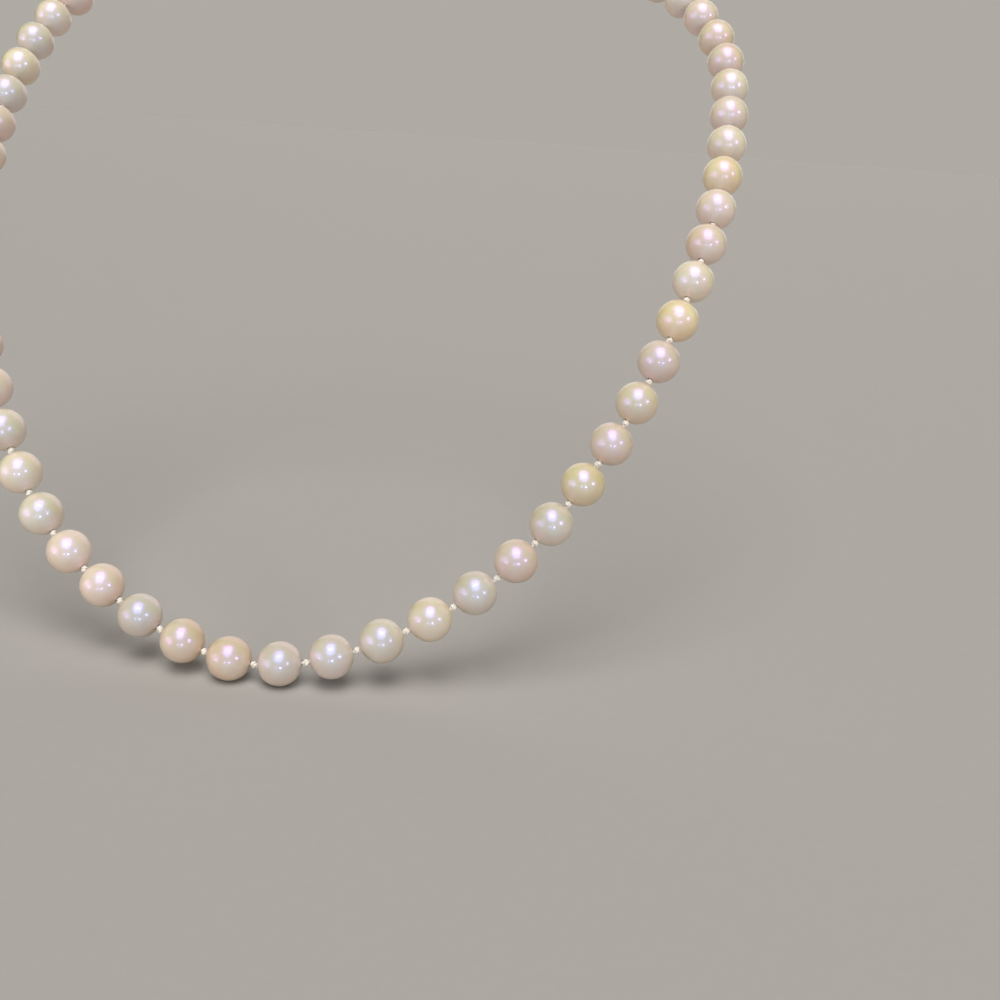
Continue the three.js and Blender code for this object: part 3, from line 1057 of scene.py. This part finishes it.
class NECKLACE_OT_clasp(bpy.types.Operator):
    """Builds the lobster clasp: its cast body, its lever and the rivet the lever turns on"""

    bl_idname = "necklace.clasp"
    bl_label = "Lobster clasp"

    def execute(self, context):
        grid = context.scene.fitting_sizes.cast_rounding
        finish = silver_finish(context, "polished_cast_silver", roughness=0.11)
        body = cast_copy("cast_clasp_body", "clasp_body", grid, finish)
        declare(body, "nape", "clasp_body")
        lever = cast_copy("cast_clasp_lever", "clasp_lever", grid, finish)
        declare(lever, "lever", "clasp_lever")
        rivet = piece_from_mesh("clasp_rivet", rivet_mesh(finish))
        declare(rivet, "nape", "clasp_pin")
        return {"FINISHED"}


def rivet_mesh(finish):
    """A short pin with its ends hammered to shallow domes."""
    low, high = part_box("clasp_pin")
    middle = (low + high) / 2
    half = (high.y - low.y) / 2
    profile = [(-(half + past * PIN_DOME), share) for past, share in RIVET_PROFILE]
    profile += [(-offset, share) for offset, share in reversed(profile)]
    shape = bmesh.new()
    rows = []
    for offset, share in profile:
        row = []
        for spoke in range(PIN_SIDES):
            angle = 2 * math.pi * spoke / PIN_SIDES
            row.append(shape.verts.new(middle + Vector((
                math.cos(angle) * share * PIN_RADIUS, offset,
                math.sin(angle) * share * PIN_RADIUS))))
        rows.append(row)
    for near, far in zip(rows, rows[1:]):
        for spoke in range(PIN_SIDES):
            after = (spoke + 1) % PIN_SIDES
            shape.faces.new((near[spoke], near[after], far[after], far[spoke]))
    shape.faces.new(rows[0])
    shape.faces.new(rows[-1])
    return mesh_of(shape, "clasp_rivet", finish)


# The studio -------------------------------------------------------------------------------------


# Seamless studio paper: matt and even, with a faint fibre that keeps it from looking flat.
PAPER_FIBRE = 1.5 * MM


def paper_finish(colour):
    finish, tree, place = new_finish("seamless_paper")
    fibre = object_noise(tree, place, PAPER_FIBRE, 4.0)
    set_skin(tree, {
        "Base Color": two_tone(tree, fibre, [0.96 * channel for channel in colour], colour),
        "Roughness": 0.85,
        "Specular IOR Level": 0.2,
    })
    return finish


FLOOR_RADIUS = 14.0
FLOOR_RINGS = 12
FLOOR_SPOKES = 96


def paper_floor(floor_z, finish):
    """A wide round sheet of paper under the necklace."""
    shape = bmesh.new()
    centre = shape.verts.new((0.0, 0.0, floor_z))
    rows = []
    for ring in range(1, FLOOR_RINGS + 1):
        radius = FLOOR_RADIUS * (ring / FLOOR_RINGS) ** 3
        rows.append([shape.verts.new((
            radius * math.cos(2 * math.pi * spoke / FLOOR_SPOKES),
            radius * math.sin(2 * math.pi * spoke / FLOOR_SPOKES), floor_z))
            for spoke in range(FLOOR_SPOKES)])
    for spoke in range(FLOOR_SPOKES):
        after = (spoke + 1) % FLOOR_SPOKES
        shape.faces.new((centre, rows[0][spoke], rows[0][after]))
        for near, far in zip(rows, rows[1:]):
            shape.faces.new((near[spoke], far[spoke], far[after], near[after]))
    new_object("paper_floor", mesh_of(shape, "paper_floor", finish))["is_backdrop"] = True


def camera_axes(settings):
    """The camera's right, up and forward directions."""
    turn, dip, roll = settings.camera_turn, settings.camera_dip, settings.camera_roll
    forward = Vector((math.sin(turn) * math.cos(dip), math.cos(turn) * math.cos(dip),
                      -math.sin(dip)))
    level = Vector((math.cos(turn), -math.sin(turn), 0.0))
    upright = level.cross(forward)
    right = level * math.cos(roll) + upright * math.sin(roll)
    up = upright * math.cos(roll) - level * math.sin(roll)
    return right, up, forward


SENSOR_WIDTH = 36.0
NEAREST_SEEN = 0.01
FARTHEST_SEEN = 20.0


def add_camera(settings):
    right, up, forward = camera_axes(settings)
    lens = bpy.data.cameras.new("necklace_camera")
    lens.lens = settings.lens
    lens.sensor_width = SENSOR_WIDTH
    lens.clip_start = NEAREST_SEEN
    lens.clip_end = FARTHEST_SEEN
    camera = new_object("necklace_camera", lens)
    axes = Matrix((right, up, -forward)).transposed().to_4x4()
    camera.matrix_world = Matrix.Translation(settings.camera_place) @ axes
    bpy.context.scene.camera = camera


def add_light(name, settings, glint, spread, strength):
    """A far, round softbox that shows in a pearl's face at glint, in shares of its radius."""
    right, up, forward = camera_axes(settings)
    across, rise = glint
    facing = math.sqrt(1 - across * across - rise * rise)
    normal = right * across + up * rise - forward * facing
    direction = normal * 2 * facing + forward
    lamp = bpy.data.lights.new(name, "SUN")
    lamp.angle = math.radians(spread)
    lamp.energy = strength
    light = new_object(name, lamp)
    light.location = direction
    light.rotation_mode = "QUATERNION"
    light.rotation_quaternion = (-direction).to_track_quat("-Z", "Y")


def add_surroundings(context, settings, colours):
    """Even, dim light from all round, in front of which the paper seems to go on for ever."""
    world = bpy.data.worlds.new("pale_surroundings")
    world.use_nodes = True
    tree = world.node_tree
    glow = tree.nodes["Background"]
    glow.inputs["Color"].default_value = opaque(colours.surroundings)
    glow.inputs["Strength"].default_value = settings.ambient
    seen = add_node(tree, "ShaderNodeBackground",
                    {"Color": opaque(colours.backdrop), "Strength": 1.0})
    ray = add_node(tree, "ShaderNodeLightPath")
    both = add_node(tree, "ShaderNodeMixShader", {
        0: ray.outputs["Is Camera Ray"], 1: glow.outputs[0], 2: seen.outputs[0]})
    tree.links.new(both.outputs[0], tree.nodes["World Output"].inputs["Surface"])
    context.scene.world = world


FLOOR_CLEARANCE = 0.05 * MM

# Each lamp: where it shows in a pearl's face (to the right and up, in shares of the radius), its
# width in degrees, and the setting that drives it with its share of that
LAMPS = (
    ("main_softbox_top", (0.02, 0.47), 41.0, "main_light", 1.0),
    ("main_softbox_foot", (0.02, 0.29), 41.0, "main_light", 1.0),
    ("side_softbox", (-0.52, -0.06), 54.0, "side_light", 1.0),
    ("side_lamp", (-0.47, -0.06), 13.0, "small_lights", 1.0),
    ("right_lamp", (0.43, 0.04), 12.0, "small_lights", 2.0),
    ("low_lamp", (0.12, -0.125), 9.0, "small_lights", 1.5),
    ("low_side_lamp", (-0.07, -0.115), 8.0, "small_lights", 0.7),
    ("back_softbox", (0.25, 0.93), 75.0, "back_light", 1.0),
)


class NECKLACE_OT_stage(bpy.types.Operator):
    """Builds the pale paper, the softboxes and the camera"""

    bl_idname = "necklace.stage"
    bl_label = "Stage"

    def execute(self, context):
        settings = context.scene.studio_settings
        colours = context.scene.necklace_colours
        low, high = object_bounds()
        paper_floor(low.z - FLOOR_CLEARANCE, paper_finish(colours.floor))
        add_surroundings(context, settings, colours)
        for name, glint, spread, setting, share in LAMPS:
            add_light(name, settings, glint, spread, share * getattr(settings, setting))
        context.scene.view_settings.view_transform = "Standard"
        add_camera(settings)
        return {"FINISHED"}


# The panel --------------------------------------------------------------------------------------


OPERATORS = (
    NECKLACE_OT_pearls, NECKLACE_OT_silk, NECKLACE_OT_bullion, NECKLACE_OT_rings,
    NECKLACE_OT_clasp, NECKLACE_OT_spring, NECKLACE_OT_stage,
)
SETTINGS = (
    ("strand_sizes", StrandSizes), ("fitting_sizes", FittingSizes),
    ("necklace_colours", NecklaceColours), ("studio_settings", StudioSettings),
)


class NECKLACE_PT_panel(bpy.types.Panel):
    """Lists the necklace's pieces with their sizes and colours"""

    bl_label = "Pearl necklace"
    bl_idname = "NECKLACE_PT_panel"
    bl_space_type = "VIEW_3D"
    bl_region_type = "UI"
    bl_category = "Necklace"

    def draw(self, context):
        for maker in OPERATORS:
            self.layout.operator(maker.bl_idname)
        for label, _ in SETTINGS:
            group = getattr(context.scene, label)
            box = self.layout.box()
            for name in group.bl_rna.properties.keys():
                if name not in ("rna_type", "name"):
                    box.prop(group, name)


def register():
    for label, group in SETTINGS:
        bpy.utils.register_class(group)
        setattr(bpy.types.Scene, label, PointerProperty(type=group))
    for maker in OPERATORS:
        bpy.utils.register_class(maker)
    bpy.utils.register_class(NECKLACE_PT_panel)


def unregister():
    bpy.utils.unregister_class(NECKLACE_PT_panel)
    for maker in reversed(OPERATORS):
        bpy.utils.unregister_class(maker)
    for label, group in reversed(SETTINGS):
        delattr(bpy.types.Scene, label)
        bpy.utils.unregister_class(group)


def main():
    register()
    bpy.ops.necklace.pearls()
    bpy.ops.necklace.silk()
    bpy.ops.necklace.bullion()
    bpy.ops.necklace.rings()
    bpy.ops.necklace.clasp()
    bpy.ops.necklace.spring()
    bpy.ops.necklace.stage()


if __name__ == "__main__":
    main()
